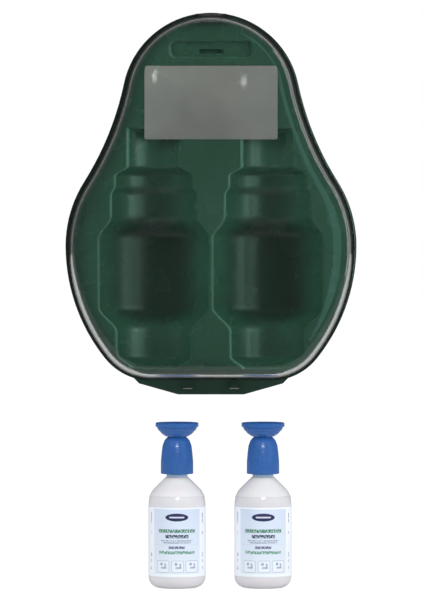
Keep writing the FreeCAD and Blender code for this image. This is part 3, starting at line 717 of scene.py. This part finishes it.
def make_card_piece():
    """The blank card: thin, with softened edges."""
    low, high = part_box("instruction_card")
    corner = 2 * MM
    half_x, half_z = (high[0] - low[0]) / 2, (high[2] - low[2]) / 2
    mid = (low[2] + high[2]) / 2
    flat = rounded([(half_x, half_z, corner), (-half_x, half_z, corner),
                    (-half_x, -half_z, corner), (half_x, -half_z, corner)])
    rings = []
    for inset, y in ((0.35, high[1]), (0, high[1] - 0.25 * MM), (0, low[1] + 0.4 * MM),
                     (0.12, low[1] + 0.12 * MM), (0.4, low[1])):
        scale_x, scale_z = (half_x - inset * MM) / half_x, (half_z - inset * MM) / half_z
        rings.append([(x * scale_x, y, mid + z * scale_z) for x, z in flat])
    mesh = mesh_from_rings("card_sheet", rings, True, True)
    add_object("card_sheet", mesh, card_grey, "case", "instruction_card")
    mesh.set_sharp_from_angle(angle=math.radians(50))


make_tray()
make_ears()
finish_cover(make_cover())
make_card_piece()

paint("back_shell", case_green)
paint("hinge_pin", pin_steel)
for name in ("snap_stud_left", "snap_stud_right"):
    paint(name, case_green)
    soften(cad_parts[name], 1.1 * MM, 4)


# ---------------------------------------------------------------- the bottles

def make_bottle(side):
    """One bottle with its label, ring, cap, eyecup and lid, turned from sections in millimetres."""
    low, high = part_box(f"bottle_{side}")
    base = ((low[0] + high[0]) / 2, (low[1] + high[1]) / 2, low[2])
    bottle, cap, lid = f"bottle_{side}", f"cap_{side}", f"lid_{side}"

    foot = [(17.5 + 11 * math.sin(a), 11 - 11 * math.cos(a), 0)
            for a in (math.pi * k / 18 for k in range(10))]
    outer = [(28.5, 85.5, 14), (27.4, 92, 12), (24.6, 97.2, 14), (20.6, 101.4, 20), (11.4, 110.5, 4),
             (9.0, 111.6, 0.6), (8.8, 112.2, 0), (8.8, 129.4, 0.5)]
    inner = [(7.4, 129.4, 0.3), (7.4, 111.4, 2), (10.4, 109.4, 4), (19.7, 100.1, 16), (23.6, 96.2, 12),
             (26.2, 91.4, 10), (27.3, 85, 8), (27.3, 12, 3), (24.2, 5, 3), (17, 2.4, 2), (0.6, 2.6, 0)]
    wall = [(0.6, 1.4, 0), (14, 1.2, 1), (16, 0.1, 0.5)] + foot + outer + inner
    liquid_level = 91.7
    lathe(f"bottle_wall_{side}", wall, base, make_bottle_plastic(side, base, liquid_level), bottle,
          f"bottle_{side}", sharp=60, closed=False, steps=9)

    sleeve = [(28.52, 12.5, 0), (28.78, 12.5, 0.1), (28.78, 81.5, 0.1), (28.52, 81.5, 0)]
    lathe(f"label_sleeve_{side}", sleeve, base, make_label(side, base), bottle,
          f"bottle_label_{side}", sharp=40, around=128)

    ring = [(8.85, 111.05, 0), (10.45, 111.05, 0.5), (10.45, 113.5, 0.5), (8.85, 113.5, 0)]
    lathe(f"tamper_ring_{side}", ring, base, ring_blue, bottle, f"tamper_ring_{side}", around=64)

    bell = [(14.4, 113.9, 0.3), (16.25, 113.9, 0.7), (16.2, 126, 14), (15.5, 134, 12), (14.6, 141.6, 9),
            (12.6, 147.3, 6), (9.0, 151.2, 0.6), (2.5, 151.2, 0.3), (2.5, 149.6, 0.2), (8.4, 149.3, 1.5),
            (12.7, 141.5, 6), (14.0, 134, 8)]
    lathe(f"cap_bell_{side}", bell, base, make_bell_blue(side, base), cap, f"screw_cap_{side}")

    cup = [(2.5, 151.25, 0), (9.2, 151.25, 0.3), (11.2, 151.3, 0.6), (15.2, 153.9, 6), (17.6, 156.7, 1.0),
           (18.6, 157.4, 0.6), (19.8, 159.6, 1.5), (19.8, 163.2, 0.6), (18.4, 163.2, 0.5), (18.2, 160.6, 3),
           (14.6, 156.0, 6), (11, 153.1, 2), (2.5, 152.7, 0)]
    lathe(f"eyecup_{side}", cup, base, cap_blue, cap, f"eyecup_{side}")

    plate = [(0.5, 163.9, 0), (17.6, 163.9, 2), (19.0, 165.0, 0.8), (20.6, 165.1, 0.8), (21.5, 164.6, 0.7),
             (21.5, 160.8, 0.8), (20.1, 160.75, 0.3), (20.0, 162.9, 0.2), (19.4, 163.3, 0.2), (0.5, 163.3, 0)]
    lathe(f"dust_lid_{side}", plate, base, cap_blue, lid, f"dust_lid_{side}", closed=False)

    paint(f"solution_{side}", solution)
    paint(f"spout_plug_{side}", plug_white)
    # the caps aren't mirrored in the cover
    for name in (f"cap_bell_{side}", f"eyecup_{side}", f"dust_lid_{side}"):
        bpy.data.objects[name].visible_glossy = False


for side in SIDES:
    make_bottle(side)


# ---------------------------------------------------------------- stage, light and camera

def make_stage():
    """A pale floor; the camera sees it near white, with the pieces' shadows faint on it."""
    mesh = bpy.data.meshes.new("floor")
    reach = 6.0
    corners = [(-reach, -reach, 0), (reach, -reach, 0), (reach, reach, 0), (-reach, reach, 0)]
    mesh.from_pydata(corners, [], [(0, 1, 2, 3)])
    floor = bpy.data.objects.new("floor", mesh)
    floor.location.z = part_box("bottle_left")[0][2] - 0.2 * MM
    scene.collection.objects.link(floor)
    nodes = Nodes("floor_pale")
    nodes.set(Base_Color=nodes.mix(nodes.noise(3), (0.90, 0.90, 0.90, 1), (0.93, 0.93, 0.93, 1)),
              Roughness=0.7)
    path = nodes.add("ShaderNodeLightPath").outputs
    # straight on or through clear pieces it is near white, but grey where they bend the look down
    glow = nodes.add("ShaderNodeEmission")
    steepness = nodes.split(nodes.add("ShaderNodeNewGeometry").outputs["Incoming"])["Z"]
    nodes.link(nodes.span(steepness, 0.55, 0.75, 1.16, 0.25), glow.inputs["Strength"])
    bounces = nodes.math("MAXIMUM", path["Glossy Depth"], path["Diffuse Depth"])
    seen = nodes.mix_shader(nodes.span(bounces, 0.0, 1.0, 0.8, 0.0), nodes.shader.outputs[0], glow.outputs[0])
    # in gloss it is dim, and darkest far in front, so that the cover stays clear
    dim_glow = nodes.add("ShaderNodeEmission")
    nodes.link(nodes.span(nodes.split(nodes.coords)["Y"], -1.3, -0.6, 0.04, 0.4), dim_glow.inputs["Strength"])
    in_gloss = nodes.math("GREATER_THAN", path["Glossy Depth"], 0.5)
    nodes.link(nodes.mix_shader(in_gloss, seen, dim_glow.outputs[0]), nodes.output.inputs["Surface"])
    mesh.materials.append(nodes.material)


def make_world():
    """White where the camera or a clear surface looks; for light and gloss, a dim room.

    The room is dark before and behind the object, with soft grey bands at both sides that the
    rounded edges pick up.
    """
    world = bpy.data.worlds.new("studio")
    scene.world = world
    world.use_nodes = True
    nodes = Tree(world.node_tree)
    back = nodes.tree.nodes["Background"]

    def both(first, second):
        return nodes.math("MULTIPLY", first, second)

    def band(value, outer_low, inner_low, inner_high, outer_high):
        """1 between the inner limits, falling softly to 0 at the outer ones."""
        return both(nodes.span(value, outer_low, inner_low, smooth=True),
                    nodes.span(value, outer_high, inner_high, smooth=True))

    def some(depth):
        return nodes.math("GREATER_THAN", path[depth], 0.5)

    path = nodes.add("ShaderNodeLightPath").outputs
    place = nodes.split(nodes.add("ShaderNodeTexCoord").outputs["Generated"])
    # how far round from the front (-1) through the side (0) to behind (+1)
    along = place["Y"]
    room = nodes.math("ADD", 0.05, both(band(along, -0.75, -0.25, 0.2, 0.7), 0.10))
    scattered = some("Diffuse Depth")
    mirrored = both(some("Glossy Depth"), nodes.math("SUBTRACT", 1.0, scattered))
    # bent a little by the clear rim, the look out ends on grey panels beside the backdrop
    bent = both(some("Transmission Depth"), band(along, 0.86, 0.92, 0.988, 0.997))
    lost = both(bent, nodes.span(place["X"], -0.1, 0.1, 0.85, 0.5, smooth=True))
    through = both(nodes.math("SUBTRACT", 1.0, lost),
                   nodes.math("SUBTRACT", 1.0, nodes.math("MAXIMUM", scattered, mirrored)))
    other = nodes.math("ADD", both(room, mirrored), both(0.6, scattered))
    nodes.link(nodes.math("ADD", other, through), back.inputs["Strength"])
    back.inputs["Color"].default_value = (1, 1, 1, 1)


def add_area(name, place, target, size, radiance, lights, only=(), colour=(1, 1, 1)):
    """A softbox of even radiance, for gloss or diffuse light; only names the pieces it serves."""
    light = bpy.data.lights.new(name, "AREA")
    light.shape = "RECTANGLE" if size[0] != size[1] else "DISK"
    light.size, light.size_y = size
    light.energy = radiance * math.pi * size[0] * size[1]
    light.color = colour
    lamp = bpy.data.objects.new(name, light)
    lamp.location = place
    lamp.rotation_euler = (Vector(target) - Vector(place)).to_track_quat("-Z", "Y").to_euler()
    lamp.visible_diffuse = lights != "gloss"
    lamp.visible_glossy = lights != "diffuse"
    lamp.visible_transmission = False
    scene.collection.objects.link(lamp)
    if only:
        group = bpy.data.collections.new(name)
        for piece in only:
            group.objects.link(bpy.data.objects[piece])
        lamp.light_linking.receiver_collection = group


def make_camera():
    """A long lens straight in front, a little above the middle; the picture is 600 mm tall."""
    tall, distance, rise, sensor = 600 * MM, 4.5, 0.10, 36
    data = bpy.data.cameras.new("camera")
    camera = bpy.data.objects.new("camera", data)
    aim = Vector((1 * MM, TRAY_FRONT, -54 * MM))
    camera.location = aim + Vector((0, -distance, rise))
    camera.rotation_euler = (aim - camera.location).to_track_quat("-Z", "Y").to_euler()
    data.sensor_width = sensor
    data.lens = sensor * math.hypot(distance, rise) / tall
    data.clip_end = 50
    scene.collection.objects.link(camera)
    scene.camera = camera


make_stage()
make_world()
CASE_GLOSS = ("cover_dome", "back_shell")
BOTTLE_GLOSS = [f"{name}_{side}" for side in SIDES for name in
                ("bottle_wall", "cap_bell", "eyecup", "dust_lid", "label_sleeve")]
add_area("key", (-1.6, -1.5, 1.3), (0, 0, 0), (1.0, 1.4), 5.2, "diffuse")
add_area("fill", (1.7, -1.2, 0.7), (0, 0, 0), (1.0, 1.6), 4.6, "diffuse")
add_area("left band", (-1.8, -0.6, 0.1), (0, -0.1, 0), (0.9, 3.0), 0.15, "gloss", CASE_GLOSS)
add_area("right band", (1.8, -0.6, 0.1), (0, -0.1, 0), (0.5, 3.0), 3.6, "gloss", CASE_GLOSS)
add_area("top band", (0, -0.6, 1.9), (0, -0.1, 0), (3.0, 0.5), 0.4, "gloss",
         CASE_GLOSS + ("tray_sheet", "card_sheet"))
add_area("tray light", (1.75, -1.80, 0.2), (0, 0, 0), (0.6, 3.4), 27.0, "gloss", ("tray_sheet",),
         (0.6, 1.0, 0.82))
add_area("front window", (0.05, -2.8, 1.15), (0, -0.1, -0.2), (0.5, 0.35), 70.0, "gloss", BOTTLE_GLOSS)
add_area("lamp left", (-0.20, -3.0, 0.318), (-0.056, -0.05, 0.16), (0.036, 0.036), 6.0, "gloss", CASE_GLOSS)
add_area("lamp right", (0.10, -3.0, 0.307), (0.033, -0.05, 0.16), (0.016, 0.016), 9.0, "gloss", CASE_GLOSS)
add_area("right panel", (0.62, -3.2, 0.1), (0, 0, 0), (0.5, 2.4), 1.0, "gloss", CASE_GLOSS, (0.45, 1.0, 0.93))
make_camera()
scene.view_settings.view_transform = "Standard"
